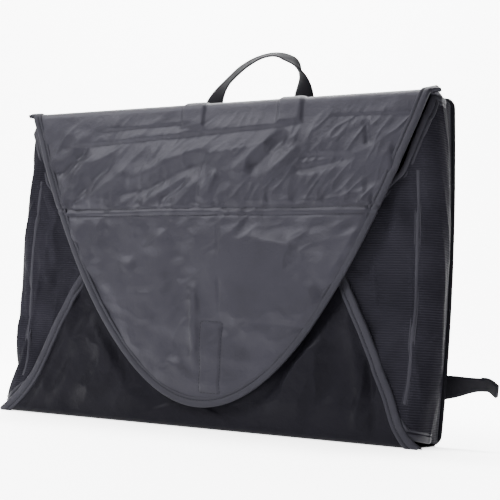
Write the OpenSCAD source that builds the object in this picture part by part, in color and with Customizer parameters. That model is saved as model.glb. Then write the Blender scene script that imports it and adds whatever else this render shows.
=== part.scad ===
// Garment bag: a padded-out garment folder that stands on its bottom gusset.
// X runs to the bag's right, Y to its back and Z up. The origin is on the
// underside of the bottom gusset, midway between the front and back rims.

/* [Body] */
// Width of the back panel
panel_w = 460; // [440:1:480]
// Height of the back panel
panel_h = 310; // [300:1:320]
// Distance from the front rim to the back rim
depth = 50; // [44:1:60]
// How far the stuffed back panel bows out at mid-height
bow = 15; // [10:1:20]
// Radius of the back panel's corners
corner_r = 10; // [6:1:16]
// Thickness of the doubled cloth
cloth = 1.5; // [1:0.1:2]

/* [Flaps] */
// Height of the top flap's rounded tip above the floor
tip_z = 21; // [18:1:30]
// Width of the top flap at the top rim
flap_top_w = 438; // [420:1:444]
// Height of the felled seam across the top flap
flap_seam_z = 204; // [190:1:220]
// Height of the bottom flap's upper hem
bottom_flap_h = 170; // [150:1:180]
// How far each mesh wing reaches in from its fold
wing_reach = 100; // [80:1:110]
// Width of the binding tape
tape_w = 7; // [5:0.5:9]
// Clear space between two layers of flap
layer_gap = 2; // [1.8:0.1:3]

/* [Handle and straps] */
// Sideways place of the handle's middle
handle_x = 24; // [0:1:30]
// Distance between the middles of the handle's feet
handle_span = 104; // [90:1:120]
// Width of the handle's webbing
handle_w = 25; // [20:1:30]
// Free length of each back strap
strap_len = 66; // [56:1:78]
// Width of the back straps' webbing
strap_w = 22; // [20:1:25]
// Height of the back straps' anchors
strap_z = 52; // [48:1:60]
// How far the left strap droops, in degrees
left_droop = 40; // [0:1:40]

/* [Hidden] */

nylon = "dimgray";
mesh_black = "#2a292e";
tape_grey = "slategray";
webbing_black = "#16161a";

back_y = depth / 2;
front_y = -depth / 2;
tape_extra = 0.7;                    // how far a tape stands proud of each face
tape_t = cloth + 2 * tape_extra;
fine = 256;

// The back panel's layers are shells of one wide cylinder, lying along X.
bow_r = (panel_h * panel_h / 4 + bow * bow) / (2 * bow);
bow_y = back_y + bow - bow_r;
outer_t = 1.4;
board_t = 1.2;
lining_t = 1;
layer_play = 0.2;
board_out = -layer_play;
lining_out = board_out - board_t - layer_play;
stack_in = lining_out - lining_t;
rim_w = 3;                           // width of the tape round the back panel
butt = 0.3;                          // space left where a gusset meets the lining

// The side gussets round the bag's edge on this radius, in plan.
edge_r = depth / 2 + 1;
edge_x = panel_w / 2 - 24;
fold_x = edge_x + 6;                 // the wings fold here
gusset_t = 1.5;
gusset_top_z = 291;                  // the gusset's slanted ends, at the front
gusset_bottom_z = 8;
top_slant_y = front_y + 8;           // and where the slants end, towards the back
top_slant_z = panel_h - 4;
bottom_slant_y = back_y - 5;
bottom_slant_z = 2;
seam_bottom_z = 37;
seam_top_z = 240;

// Layers of the closed front, from the inside out: back face of each.
wing_y = front_y;
bottom_flap_y = wing_y - cloth - layer_gap;
top_flap_y = bottom_flap_y - cloth - layer_gap;
rim_clear = 1;

patch_t = 0.7;
patch_size = [22, 66];
patch_x = 12;
patch_z = 34;

web_t = 1.8;
handle_base_z = panel_h + 2;
handle_rest_y = back_y + 2.6;
// Bends of the loop, from its left foot to its right one.
handle_bends = [[-handle_span / 2, 0], [-handle_span / 2, 30], [52, 122], [handle_span / 2, 0]];
left_twist = 0.55;                   // share of the loop in which each leg turns
right_twist = 0.3;
full_twist = 105;

strap_hinge_x = panel_w / 2 - 17;
anchor_len = 38;
anchor_t = 1.6;
strap_t = 1.6;
strap_lift = 3.4;                    // clears the tape round the back panel
tip_len = 14;
tip_t = 3.4;

function bezier(p, t) =
    pow(1 - t, 3) * p[0] + 3 * pow(1 - t, 2) * t * p[1]
    + 3 * (1 - t) * t * t * p[2] + pow(t, 3) * p[3];
function unit(v) = v / norm(v);
function left_of(v) = [-v[1], v[0]];
// The path moved d to its left.
function beside(path, d) = [for (i = [0 : len(path) - 1])
    let (a = path[max(i - 1, 0)], b = path[min(i + 1, len(path) - 1)])
    path[i] + d * left_of(unit(b - a))];
function reversed(path) = [for (i = [len(path) - 1 : -1 : 0]) path[i]];
function mirrored(path) = [for (p = reversed(path)) [-p[0], p[1]]];
function smooth(t) = let (c = max(0, min(1, t))) c * c * (3 - 2 * c);
function bow_tilt(z) = asin((z - panel_h / 2) / bow_r);

// A plate with its outline in X and Z. Its back face is at y, and it is t thick.
module plate(y, t) {
    translate([0, y, 0]) rotate([90, 0, 0]) linear_extrude(t) children();
}

// A tape is a plate that stands proud of the cloth on both faces.
module tape_plate(y) {
    plate(y + tape_extra, tape_t) children();
}

module rounded_rect(w, h, r) {
    hull() for (x = [-1, 1], z = [0, 1])
        translate([x * (w / 2 - r), r + z * (h - 2 * r)]) circle(r, $fn = 48);
}

// A shell of the bowed back, between two distances out from its base surface.
module bowed(from, to) {
    intersection() {
        translate([0, bow_y, panel_h / 2]) rotate([0, 90, 0]) difference() {
            cylinder(h = panel_w + 2, r = bow_r + to, center = true, $fn = fine);
            cylinder(h = panel_w + 4, r = bow_r + from, center = true, $fn = fine);
        }
        children();
    }
}

module panel_outline(inset) {
    translate([0, 0, inset]) plate(back_y + bow + 10, bow + 30)
        rounded_rect(panel_w - 2 * inset, panel_h - 2 * inset, corner_r - inset);
}

module back_panel() {
    color(nylon) bowed(0, outer_t) panel_outline(rim_w);
}

module stiffener_board() {
    color("white") bowed(board_out - board_t, board_out) panel_outline(rim_w + 1);
}

module back_lining() {
    color(nylon) bowed(lining_out - lining_t, lining_out) panel_outline(rim_w);
}

module back_binding() {
    color(tape_grey) bowed(stack_in, outer_t + tape_extra) difference() {
        panel_outline(0);
        panel_outline(rim_w);
    }
}

// The gussets across the top and bottom taper slightly towards the front.
module flat_gusset(z, front) {
    rear = back_y + stack_in - butt;
    half_rear = panel_w / 2 - rim_w - 2;
    translate([0, 0, z]) linear_extrude(cloth) polygon([
        [-half_rear, rear], [half_rear, rear],
        [flap_top_w / 2, front], [-flap_top_w / 2, front]
    ]);
}

module top_gusset() {
    color(nylon) flat_gusset(panel_h - cloth, top_flap_y + rim_clear);
}

module bottom_gusset() {
    color(nylon) flat_gusset(0, bottom_flap_y + rim_clear);
}

// Plan of the right gusset's outer face: round the edge, then straight back.
gusset_path = concat(
    [for (a = [-70 : 10 : 30]) [edge_x + edge_r * cos(a), edge_r * sin(a)]],
    [[panel_w / 2 - rim_w - 0.5, back_y + bow + 5]]
);

module gusset_band(out, in) {
    linear_extrude(panel_h) polygon(concat(
        beside(gusset_path, -out), reversed(beside(gusset_path, in))));
}

// Everything in front of the bowed lining.
module inside_bow() {
    translate([0, bow_y, panel_h / 2]) rotate([0, 90, 0])
        cylinder(h = panel_w + 20, r = bow_r + stack_in - butt, center = true, $fn = fine);
}

// The side view between the two slanted ends, brought in by inset.
module gusset_side(inset) {
    far_back = back_y + 25;
    past_front = 5;
    top_rise = (top_slant_z - gusset_top_z) / (top_slant_y - front_y);
    bottom_fall = (gusset_bottom_z - bottom_slant_z) / (bottom_slant_y - front_y);
    rotate([90, 0, 90]) linear_extrude(panel_w) polygon([
        [front_y - past_front, gusset_top_z - inset - past_front * top_rise],
        [top_slant_y, top_slant_z - inset],
        [far_back, top_slant_z - inset],
        [far_back, bottom_slant_z + inset],
        [bottom_slant_y, bottom_slant_z + inset],
        [front_y - past_front, gusset_bottom_z + inset + past_front * bottom_fall]
    ]);
}

module gusset() {
    color(mesh_black) intersection() {
        gusset_band(0, gusset_t);
        inside_bow();
        gusset_side(tape_w);
    }
}

module gusset_binding() {
    color(tape_grey) intersection() {
        gusset_band(tape_extra, gusset_t + tape_extra);
        inside_bow();
        difference() {
            gusset_side(0);
            gusset_side(tape_w);
        }
    }
}

// The stitched tape that marks the fold, on the gusset's outer face.
module gusset_seam() {
    seam_in = 0.2;
    seam_out = 1.2;
    color(tape_grey) translate([edge_x, 0, seam_bottom_z])
        linear_extrude(seam_top_z - seam_bottom_z)
        polygon(concat(
            [for (a = [-68 : 2 : -58]) (edge_r + seam_out) * [cos(a), sin(a)]],
            [for (a = [-58 : -2 : -68]) (edge_r + seam_in) * [cos(a), sin(a)]]));
}

module left() {
    mirror([1, 0, 0]) children();
}

// Lower edge of the top flap: a parabola from rim to rim.
flap_edge = [for (i = [-24 : 24]) let (s = i / 24)
    [s * flap_top_w / 2, tip_z + (panel_h - tip_z) * s * s]];

module flap_shape(inset) {
    above = 30;
    edge = beside(flap_edge, inset);
    top = panel_h + above;
    intersection() {
        polygon(concat(edge, [[edge[len(edge) - 1][0], top], [edge[0][0], top]]));
        translate([-panel_w / 2, 0]) square([panel_w, panel_h - 1]);
    }
}

module flap_part(from_z, to_z) {
    intersection() {
        flap_shape(tape_w);
        translate([-panel_w / 2, from_z]) square([panel_w, to_z - from_z]);
    }
}

seam_half = 4;

module top_flap_upper() {
    color(nylon) plate(top_flap_y, cloth) flap_part(flap_seam_z + seam_half, panel_h);
}

module top_flap_lower() {
    color(nylon) plate(top_flap_y, cloth) flap_part(0, flap_seam_z - seam_half);
}

module top_flap_seam() {
    color(nylon) plate(top_flap_y + tape_extra / 2, cloth + tape_extra)
        flap_part(flap_seam_z - seam_half, flap_seam_z + seam_half);
}

module top_flap_binding() {
    color(tape_grey) tape_plate(top_flap_y) difference() {
        flap_shape(0);
        flap_shape(tape_w);
        translate([-panel_w / 2, panel_h - 1.5]) square([panel_w, 2]);
    }
}

module patch(y) {
    plate(y, patch_t) translate([patch_x - patch_size[0] / 2, patch_z]) square(patch_size);
}

module hook_patch() {
    color(webbing_black) patch(top_flap_y + patch_t);
}

module loop_patch() {
    color(webbing_black) patch(bottom_flap_y - cloth);
}

// Right side edge of the bottom flap, from its foot up to its hem.
bottom_edge_bends = [[panel_w / 2 - 6, 1], [190, 30], [182, 95], [128, bottom_flap_h]];
bottom_flap_edge = let (side = [for (i = [0 : 20]) bezier(bottom_edge_bends, i / 20)])
    concat(side, mirrored(side));

module bottom_flap_shape(inset) {
    edge = beside(bottom_flap_edge, inset);
    intersection() {
        polygon(concat([[edge[0][0], -5]], edge, [[edge[len(edge) - 1][0], -5]]));
        translate([-panel_w / 2, 1]) square([panel_w, panel_h]);
    }
}

module bottom_flap_panel() {
    color(nylon) plate(bottom_flap_y, cloth) bottom_flap_shape(tape_w);
}

module bottom_flap_binding() {
    color(tape_grey) tape_plate(bottom_flap_y) difference() {
        bottom_flap_shape(0);
        bottom_flap_shape(tape_w);
        translate([-panel_w / 2, 0]) square([panel_w, 1.5]);
    }
}

// Right wing: from its fold, round its blunt inner end and over its shoulder
// back to its fold. The outline runs on a little past the fold.
wing_top_slope = 0.85;
shoulder_in = 20;
shoulder_z = 240;
past_fold = 20;
wing_edge = [
    [fold_x + past_fold, gusset_bottom_z - past_fold],
    [fold_x - wing_reach, gusset_bottom_z + wing_reach],
    [fold_x - wing_reach, shoulder_z - wing_top_slope * (wing_reach - shoulder_in)],
    [fold_x - shoulder_in, shoulder_z],
    [fold_x + past_fold,
        gusset_top_z + (gusset_top_z - shoulder_z) * past_fold / shoulder_in]
];

module wing_shape(inset) {
    intersection() {
        offset(delta = -inset) polygon(wing_edge);
        square([fold_x - 1, panel_h]);
    }
}

module wing_mesh() {
    color(mesh_black) plate(wing_y, cloth) wing_shape(tape_w);
}

module wing_binding() {
    color(tape_grey) tape_plate(wing_y) difference() {
        wing_shape(0);
        wing_shape(tape_w);
    }
}

module handle_anchor(side) {
    low = panel_h - 50;
    color(webbing_black) bowed(outer_t + 0.1, outer_t + 0.1 + anchor_t)
        translate([handle_x + side * handle_span / 2 - handle_w / 2, 0, low])
        cube([handle_w, 2 * depth, panel_h - 5 - low]);
}

// The handle's loop is a ribbon that lies flat at its feet and turns a
// little over a quarter in each leg, so its width runs front to back at the top.
function loop_at(t) = let (p = bezier(handle_bends, t)) [handle_x + p[0], 0, p[1]];
function loop_along(t) = unit(loop_at(min(1, t + 0.01)) - loop_at(max(0, t - 0.01)));
function loop_turn(t) = full_twist * min(smooth(t / left_twist), smooth((1 - t) / right_twist));
function loop_face(t) = let (a = loop_along(t), out = unit(cross([0, 1, 0], a)))
    cos(loop_turn(t)) * [0, 1, 0] + sin(loop_turn(t)) * out;
function loop_ring(t) =
    let (p = loop_at(t), n = loop_face(t), w = cross(loop_along(t), n))
    [for (c = [[-1, -1], [1, -1], [1, 1], [-1, 1]])
        p + c[0] * handle_w / 2 * w + c[1] * web_t / 2 * n];

module handle_webbing() {
    rings = 32;
    points = [for (i = [0 : rings]) for (p = loop_ring(i / rings)) p];
    walls = [for (i = [0 : rings - 1], k = [0 : 3])
        let (a = 4 * i + k, b = 4 * i + (k + 1) % 4) for (f = [[a, b, b + 4], [a, b + 4, a + 4]]) f];
    last = 4 * rings;
    color(webbing_black) translate([0, handle_rest_y, handle_base_z])
        polyhedron(points, concat([[3, 2, 1, 0]], [[last, last + 1, last + 2, last + 3]],
            [for (f = walls) f]));
}

// A frame on the bowed back at height z: Y points out of the panel.
module on_back(z) {
    translate([0, bow_y, panel_h / 2]) rotate([bow_tilt(z), 0, 0])
        translate([0, bow_r + outer_t, 0]) children();
}

module strap_anchor() {
    color(webbing_black) on_back(strap_z)
        translate([strap_hinge_x - anchor_len, 0.4, -strap_w / 2])
        cube([anchor_len - 1, anchor_t, strap_w]);
}

module strap_frame(droop) {
    on_back(strap_z) translate([strap_hinge_x, strap_lift, 0]) rotate([0, droop, 0])
        translate([1, 0, 0]) children();
}

module strap(droop) {
    color(webbing_black) strap_frame(droop) translate([0, 0, -strap_w / 2])
        cube([strap_len - tip_len - 1, strap_t, strap_w]);
}

module strap_tip(droop) {
    color(webbing_black) strap_frame(droop)
        translate([strap_len - tip_len - 1, (strap_t - tip_t) / 2, -strap_w / 2])
        cube([tip_len, tip_t, strap_w]);
}

back_panel();
stiffener_board();
back_lining();
back_binding();
top_gusset();
bottom_gusset();
left() gusset();  // left_gusset
left() gusset_binding();  // left_gusset_binding
left() gusset_seam();  // left_gusset_seam
gusset();  // right_gusset
gusset_binding();  // right_gusset_binding
gusset_seam();  // right_gusset_seam
handle_anchor(-1);  // left_handle_anchor
handle_anchor(1);  // right_handle_anchor
left() strap_anchor();  // left_strap_anchor
strap_anchor();  // right_strap_anchor
top_flap_upper();
top_flap_lower();
top_flap_seam();
top_flap_binding();
hook_patch();
bottom_flap_panel();
bottom_flap_binding();
loop_patch();
left() wing_mesh();  // left_wing_mesh
left() wing_binding();  // left_wing_binding
wing_mesh();  // right_wing_mesh
wing_binding();  // right_wing_binding
handle_webbing();
left() strap(left_droop);  // left_strap
left() strap_tip(left_droop);  // left_strap_tip
strap(0);  // right_strap
strap_tip(0);  // right_strap_tip
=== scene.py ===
"""Looks of the garment bag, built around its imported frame. Metres, +Z up, the front faces -Y."""

import math

import bmesh
import bpy
import numpy as np
from mathutils import Matrix, Vector


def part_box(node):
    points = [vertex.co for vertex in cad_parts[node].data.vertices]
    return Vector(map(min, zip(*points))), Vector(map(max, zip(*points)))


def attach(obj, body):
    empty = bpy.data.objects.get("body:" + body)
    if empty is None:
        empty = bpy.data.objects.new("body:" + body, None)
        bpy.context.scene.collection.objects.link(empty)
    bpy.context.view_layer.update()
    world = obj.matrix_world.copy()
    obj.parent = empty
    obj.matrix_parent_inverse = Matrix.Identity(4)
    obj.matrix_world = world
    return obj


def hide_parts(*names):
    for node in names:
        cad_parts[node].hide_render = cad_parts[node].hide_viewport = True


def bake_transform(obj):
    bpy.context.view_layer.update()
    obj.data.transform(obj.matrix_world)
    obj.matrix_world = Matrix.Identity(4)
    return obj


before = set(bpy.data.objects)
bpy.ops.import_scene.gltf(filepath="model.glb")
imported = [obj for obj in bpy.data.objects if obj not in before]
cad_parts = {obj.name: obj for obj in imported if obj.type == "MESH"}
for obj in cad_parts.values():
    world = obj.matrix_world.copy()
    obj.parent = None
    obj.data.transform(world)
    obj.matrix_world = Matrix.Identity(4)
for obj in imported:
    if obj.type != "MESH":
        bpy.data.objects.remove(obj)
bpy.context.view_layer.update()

MM = 0.001

# Places of the frame that the soft pieces follow.
PANEL_LOW, PANEL_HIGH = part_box("back_binding")
HALF_W, HEIGHT = PANEL_HIGH.x, PANEL_HIGH.z
REAR_Y = PANEL_LOW.y + 3.2 * MM       # the gussets run on under the back's tape
FLAP_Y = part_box("top_flap_upper")[0].y - 1.5 * MM
FLAP_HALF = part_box("top_flap_binding")[1].x
TIP_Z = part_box("top_flap_binding")[0].z
SEAM_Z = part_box("top_flap_seam")[1].z - MM
BOTTOM_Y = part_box("bottom_flap_panel")[0].y
BOTTOM_HEM_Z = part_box("bottom_flap_binding")[1].z
WING_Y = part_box("right_wing_mesh")[0].y
WING_IN_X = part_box("right_wing_binding")[0].x
FOLD_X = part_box("right_wing_mesh")[1].x + MM
WING_BOTTOM_Z, WING_TOP_Z = (corner.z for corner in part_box("right_wing_binding"))
SHOULDER_Z = 240 * MM
SHOULDER_IN = 20 * MM
WING_SLOPE = 0.85
PATCH_LOW, PATCH_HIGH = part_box("hook_patch")
LOOP_LOW, LOOP_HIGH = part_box("loop_patch")

BOW = 15 * MM
BACK_PLANE = 25 * MM
BOW_R = (HEIGHT ** 2 / 4 + BOW ** 2) / (2 * BOW)
BOW_Y = BACK_PLANE + BOW - BOW_R

TAPE_W = 8.5 * MM
TAPE_T = 1.5 * MM
CLOTH_T = 1.1 * MM
STITCH_PITCH = 3.4 * MM


# ---------------------------------------------------------------- numbers

def smooth(t):
    t = np.clip(t, 0.0, 1.0)
    return t * t * (3.0 - 2.0 * t)


def ramp(value, low, high):
    """0 below low, 1 above high, smooth between; it falls where low is above high."""
    return smooth((value - low) / (high - low))


def noise(x, y, seed):
    """Smooth noise from -1 to 1, with about one hump per unit."""
    table = np.random.RandomState(seed).uniform(-1.0, 1.0, (64, 64))
    i, j = np.floor(x).astype(int), np.floor(y).astype(int)
    u, v = smooth(x - i), smooth(y - j)
    i, j = i % 64, j % 64
    i1, j1 = (i + 1) % 64, (j + 1) % 64
    low = table[i, j] * (1 - u) + table[i1, j] * u
    high = table[i, j1] * (1 - u) + table[i1, j1] * u
    return low * (1 - v) + high * v


def layered(x, y, seed, octaves=3):
    total, share = 0.0, 0.0
    for k in range(octaves):
        total = total + noise(x * 2 ** k, y * 2 ** k, seed + k) * 0.5 ** k
        share += 0.5 ** k
    return total / share


def folds(x, y, angle, long, wide, seed, sharp=1.6):
    """Cloth folds from 0 to 1 that run at an angle to x, in degrees; long and wide are their size."""
    a = math.radians(angle)
    along = x * math.cos(a) + y * math.sin(a)
    across = -x * math.sin(a) + y * math.cos(a)
    bend = 0.55 * noise(x / (1.3 * long), y / (1.3 * long), seed + 7)
    n = layered(along / long + 3.1, across / wide + bend * long / wide * 0.5, seed, 2)
    return (1.0 - np.abs(n)) ** (2.0 * sharp)


def crease(x, y, a, b, wide, depth, skew=0.0):
    """A ridge, or a valley where depth is negative, along the line from a to b, in mm."""
    ax, ay, bx, by = a[0] * MM, a[1] * MM, b[0] * MM, b[1] * MM
    dx, dy = bx - ax, by - ay
    length = math.hypot(dx, dy)
    t = ((x - ax) * dx + (y - ay) * dy) / length ** 2
    side = ((x - ax) * -dy + (y - ay) * dx) / length
    ends = ramp(t, -0.12, 0.18) * ramp(t, 1.12, 0.82)
    w = wide * MM
    lean = 1.0 + skew * np.tanh(side / w)
    return depth * MM * ends * lean * np.exp(-(side / w) ** 2)


def lap(x, y, a, b, depth, reach, lip=1.2):
    """A folded lip from a to b: the cloth drops by depth on its right and recovers over reach."""
    ax, ay, bx, by = a[0] * MM, a[1] * MM, b[0] * MM, b[1] * MM
    dx, dy = bx - ax, by - ay
    length = math.hypot(dx, dy)
    t = ((x - ax) * dx + (y - ay) * dy) / length ** 2
    side = -((x - ax) * -dy + (y - ay) * dx) / length
    ends = ramp(t, -0.08, 0.12) * ramp(t, 1.08, 0.88)
    drop = 0.5 * (1 + np.tanh(side / (lip * MM))) * np.exp(-np.clip(side, 0, None) / (reach * MM))
    return -depth * MM * ends * drop


# ---------------------------------------------------------------- meshes

def make_object(name, verts, faces, cloth=None):
    mesh = bpy.data.meshes.new(name)
    mesh.from_pydata(np.asarray(verts).reshape(-1, 3).tolist(), [], faces)
    mesh.update()
    mesh.polygons.foreach_set("use_smooth", [True] * len(mesh.polygons))
    if cloth is not None:
        flat = np.zeros((len(mesh.vertices), 3), np.float32)
        flat[:, :2] = np.asarray(cloth).reshape(-1, 2)
        attribute = mesh.attributes.new("cloth", "FLOAT_VECTOR", "POINT")
        attribute.data.foreach_set("vector", flat.ravel())
    obj = bpy.data.objects.new(name, mesh)
    bpy.context.scene.collection.objects.link(obj)
    return obj


def grid_faces(rows, columns, closed_columns=False):
    faces = []
    last = columns if closed_columns else columns - 1
    for i in range(rows - 1):
        for j in range(last):
            k = (j + 1) % columns
            faces.append((i * columns + j, i * columns + k, (i + 1) * columns + k, (i + 1) * columns + j))
    return faces


def sheet_object(name, points, cloth, material, thickness=CLOTH_T, flip=False):
    """A sheet of cloth from a grid of points on its outer face."""
    rows, columns = points.shape[:2]
    faces = grid_faces(rows, columns)
    if flip:
        faces = [f[::-1] for f in faces]
    obj = make_object(name, points, faces, cloth)
    obj.data.materials.append(material)
    solid = obj.modifiers.new("thickness", "SOLIDIFY")
    solid.thickness = thickness
    solid.offset = -1.0
    return obj


def unit(v):
    return v / np.maximum(np.linalg.norm(v, axis=-1, keepdims=True), 1e-12)


def facing(surface, a, b, step_a, step_b):
    """Points and outward normals of a relief surface, taken over a short step each way."""
    point, plain_normal = surface(a, b)[:2]
    over_a = surface(a + step_a, b)[0] - surface(a - step_a, b)[0]
    over_b = surface(a, b + step_b)[0] - surface(a, b - step_b)[0]
    true_normal = unit(np.cross(over_a, over_b))
    true_normal = true_normal * np.sign((true_normal * plain_normal).sum(-1, keepdims=True))
    return point, unit(true_normal + 0.3 * plain_normal)


def along_path(points):
    step = np.linalg.norm(np.diff(points, axis=0), axis=1)
    return np.concatenate([[0.0], np.cumsum(step)])


def resample(points, normals, pitch):
    s = along_path(points)
    count = max(4, int(round(s[-1] / pitch)))
    at = np.linspace(0.0, s[-1], count + 1)
    p = np.stack([np.interp(at, s, points[:, k]) for k in range(3)], 1)
    n = np.stack([np.interp(at, s, normals[:, k]) for k in range(3)], 1)
    return p, unit(n), at


def sweep(name, points, normals, section, material, closed=False, side=1.0):
    """Sweeps a closed section of (inward, outward) pairs along an edge. side picks which way is inward."""
    tangent = np.gradient(points, axis=0)
    if closed:
        tangent = np.roll(points, -1, axis=0) - np.roll(points, 1, axis=0)
    tangent = unit(tangent)
    normal = unit(normals - (normals * tangent).sum(1, keepdims=True) * tangent)
    inward = side * np.cross(normal, tangent)
    section = np.asarray(section)
    verts = (points[:, None, :] + inward[:, None, :] * section[None, :, :1]
             + normal[:, None, :] * section[None, :, 1:])
    n, m = len(points), len(section)
    round_it = np.concatenate([[0.0], np.cumsum(np.linalg.norm(np.diff(section, axis=0), axis=1))])
    s = along_path(points)
    cloth = np.stack(np.broadcast_arrays(s[:, None], round_it[None, :]), -1)
    faces = grid_faces(n, m, closed_columns=True)
    if closed:
        faces += [((n - 1) * m + j, (n - 1) * m + (j + 1) % m, (j + 1) % m, j) for j in range(m)]
    else:
        faces += [tuple(range(m)), tuple((n - 1) * m + j for j in reversed(range(m)))]
    obj = make_object(name, verts, faces, cloth)
    obj.data.materials.append(material)
    fix_normals(obj)
    return obj, inward, normal, tangent


def fix_normals(obj):
    bm = bmesh.new()
    bm.from_mesh(obj.data)
    bmesh.ops.recalc_face_normals(bm, faces=bm.faces)
    bm.to_mesh(obj.data)
    bm.free()


def tape_section(width=TAPE_W, face=TAPE_T, back=TAPE_T):
    """Binding tape folded over an edge: a full roll at the edge, a sewn groove and a flat inner lip."""
    w, t = width, face
    front = [(-0.9 * MM, 0.25 * t), (-0.3 * MM, 0.8 * t), (1.1 * MM, 1.12 * t), (0.32 * w, 1.2 * t),
             (0.5 * w, 1.05 * t), (0.59 * w, 0.62 * t), (0.64 * w, 0.35 * t), (0.69 * w, 0.62 * t),
             (0.8 * w, 0.85 * t), (0.93 * w, 0.78 * t), (w, 0.45 * t), (w + 0.15 * MM, 0.0)]
    b = back + CLOTH_T
    rear = [(w, -b * 0.9), (0.8 * w, -b * 1.05), (0.35 * w, -b * 1.05), (0.0, -b), (-0.8 * MM, -0.6 * b)]
    return front + rear


def stitch_row(name, points, normals, tangents, material, pitch=STITCH_PITCH, size=(1.15, 0.33, 0.3)):
    """One row of stitches: a small rounded bar of thread at each step along the path."""
    s = along_path(points)
    count = max(2, int(s[-1] / pitch))
    at = (np.arange(count) + 0.5) * s[-1] / count
    pick = lambda v: np.stack([np.interp(at, s, v[:, k]) for k in range(3)], 1)
    p, n, t = pick(points), unit(pick(normals)), unit(pick(tangents))
    b = np.cross(n, t)
    rings, around = [(-1.0, 0.35), (-0.75, 0.85), (0.0, 1.0), (0.75, 0.85), (1.0, 0.35)], 6
    half, wide, tall = (v * MM for v in size)
    shape = []
    for along, share in rings:
        for k in range(around):
            a = 2 * math.pi * k / around
            shape.append((along * half, share * wide * math.cos(a), share * tall * math.sin(a)))
    shape = np.array(shape)
    verts = (p[:, None] + shape[None, :, :1] * t[:, None] + shape[None, :, 1:2] * b[:, None]
             + shape[None, :, 2:] * n[:, None])
    one = grid_faces(len(rings), around, closed_columns=True)
    one += [tuple(range(around))[::-1], tuple((len(rings) - 1) * around + k for k in range(around))]
    faces = [tuple(v + i * len(shape) for v in f) for i in range(count) for f in one]
    obj = make_object(name, verts, faces, np.zeros((count * len(shape), 2)))
    obj.data.materials.append(material)
    return obj


def join(name, objects):
    with bpy.context.temp_override(active_object=objects[0], selected_editable_objects=objects,
                                   selected_objects=objects):
        bpy.ops.object.join()
    objects[0].name = name
    objects[0].data.name = name
    return objects[0]


# ---------------------------------------------------------------- materials

def node(tree, kind, **values):
    made = tree.nodes.new(kind)
    for key, value in values.items():
        if key in made.inputs:
            made.inputs[key].default_value = value
        else:
            setattr(made, key, value)
    return made


def blend_colors(tree, factor, low, high):
    mix = tree.nodes.new("ShaderNodeMix")
    mix.data_type = "RGBA"
    share, color_a, color_b = (next(i for i in mix.inputs if i.identifier == name)
                               for name in ("Factor_Float", "A_Color", "B_Color"))
    color_a.default_value = (*low, 1.0)
    color_b.default_value = (*high, 1.0)
    tree.links.new(factor, share)
    return next(o for o in mix.outputs if o.identifier == "Result_Color")


def math_node(tree, operation, a, b):
    made = tree.nodes.new("ShaderNodeMath")
    made.operation = operation
    for socket, value in zip(made.inputs, (a, b)):
        if hasattr(value, "links"):
            tree.links.new(value, socket)
        else:
            socket.default_value = value
    return made.outputs[0]


WAVE_PERIOD = 2 * math.pi / 20.0      # of a wave texture at a scale of 1


def wave(tree, vector, axis, pitch, distortion=0.0):
    made = node(tree, "ShaderNodeTexWave", wave_type="BANDS", bands_direction=axis, wave_profile="SIN",
                Scale=WAVE_PERIOD / pitch, Distortion=distortion)
    tree.links.new(vector, made.inputs["Vector"])
    return made.outputs["Fac"]


def cloud(tree, vector, size, detail=3.0, rough=0.55):
    made = node(tree, "ShaderNodeTexNoise", Scale=1.0 / size, Detail=detail, Roughness=rough)
    tree.links.new(vector, made.inputs["Vector"])
    return made.outputs["Fac"]


def fabric(name, low, high, rough, weave, weave_depth, crumple=0.0, crumple_size=9 * MM,
           sheen=0.0, ribs=None, rib_depth=0.0, ior=1.3):
    """Woven cloth: colour clouds, two thread directions, any raised ribs with a painted highlight on their
    crests in patches, and soft crumples.
    """
    mat = bpy.data.materials.new(name)
    mat.use_nodes = True
    tree = mat.node_tree
    shader = tree.nodes["Principled BSDF"]
    cloth = node(tree, "ShaderNodeAttribute", attribute_name="cloth").outputs["Vector"]
    place = tree.nodes.new("ShaderNodeTexCoord").outputs["Object"]
    clouds = cloud(tree, place, 45 * MM)
    grain = cloud(tree, place, 1.3 * MM, 2.0)
    threads = math_node(tree, "MULTIPLY", wave(tree, cloth, "X", weave), wave(tree, cloth, "Y", weave))
    tone = math_node(tree, "ADD", math_node(tree, "MULTIPLY", clouds, 0.75),
                     math_node(tree, "MULTIPLY", grain, 0.25))
    tone = math_node(tree, "ADD", tone, math_node(tree, "MULTIPLY", threads, 0.18))
    height = math_node(tree, "MULTIPLY", threads, weave_depth)
    if ribs:
        rib = wave(tree, cloth, "Y", ribs)
        height = math_node(tree, "ADD", height, math_node(tree, "MULTIPLY", rib, rib_depth))
        # Painted highlight: the rib crests are made lighter in cloudy patches, standing in for light
        # catching them.
        rib_crest_highlight = cloud(tree, place, 26 * MM)
        tone = math_node(tree, "ADD", tone, math_node(tree, "MULTIPLY",
                         math_node(tree, "MULTIPLY", math_node(tree, "POWER", rib, 3.0), rib_crest_highlight), 0.9))
        tone = math_node(tree, "SUBTRACT", tone, 0.12)
    tree.links.new(blend_colors(tree, tone, low, high), shader.inputs["Base Color"])
    uneven = math_node(tree, "ADD", math_node(tree, "MULTIPLY", clouds, 0.18), rough - 0.09)
    tree.links.new(uneven, shader.inputs["Roughness"])
    fine = node(tree, "ShaderNodeBump", Strength=0.55, Distance=1.0)
    tree.links.new(height, fine.inputs["Height"])
    last = fine
    if crumple:
        rough_cloth = cloud(tree, place, crumple_size, 4.0, 0.6)
        broad = node(tree, "ShaderNodeBump", Strength=0.5, Distance=1.0)
        tree.links.new(math_node(tree, "MULTIPLY", rough_cloth, crumple), broad.inputs["Height"])
        tree.links.new(fine.outputs["Normal"], broad.inputs["Normal"])
        last = broad
    tree.links.new(last.outputs["Normal"], shader.inputs["Normal"])
    shader.inputs["Sheen Weight"].default_value = sheen
    shader.inputs["IOR"].default_value = ior
    shader.inputs["Specular Tint"].default_value = (0.88, 0.86, 1.0, 1.0)
    return mat


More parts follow.
